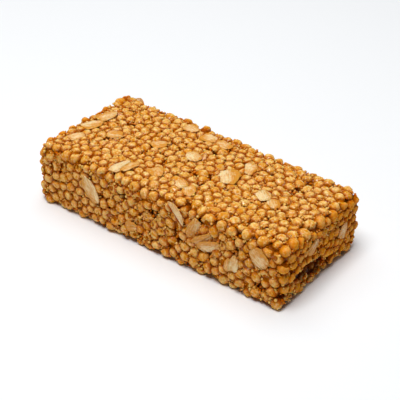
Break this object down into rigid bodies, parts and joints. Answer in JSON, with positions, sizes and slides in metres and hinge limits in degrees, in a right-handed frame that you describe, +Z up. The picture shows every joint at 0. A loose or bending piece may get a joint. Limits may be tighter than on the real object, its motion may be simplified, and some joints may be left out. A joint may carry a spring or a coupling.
{
  "type": "granola bar",
  "caption": "Rectangular pressed slab of puffed grain and oat flakes bound with syrup, pebbled on every side, flat underneath, lying on its broad face.",
  "frame": {"origin": "middle of the underside, on the table", "axes": "+X along the bar's length, towards the end with the crumbled hollow; +Y across its width, away from the long side with the small pits; +Z up, out of the broad top"},
  "size_m": [0.097, 0.0456, 0.0218],
  "materials": {
    "puffed_grain": "puffed grain glazed with amber syrup, pale tan on the grains and dark amber in the seams, softly glossy",
    "syrup": "set amber syrup, glossy, darker where it is deep",
    "oat_flake": "pale cream rolled oat under a thin glaze, with a crease along its middle"
  },
  "bodies": {
    "root": {"granola_bar": "puffed_grain"}
  },
  "joints": []
}
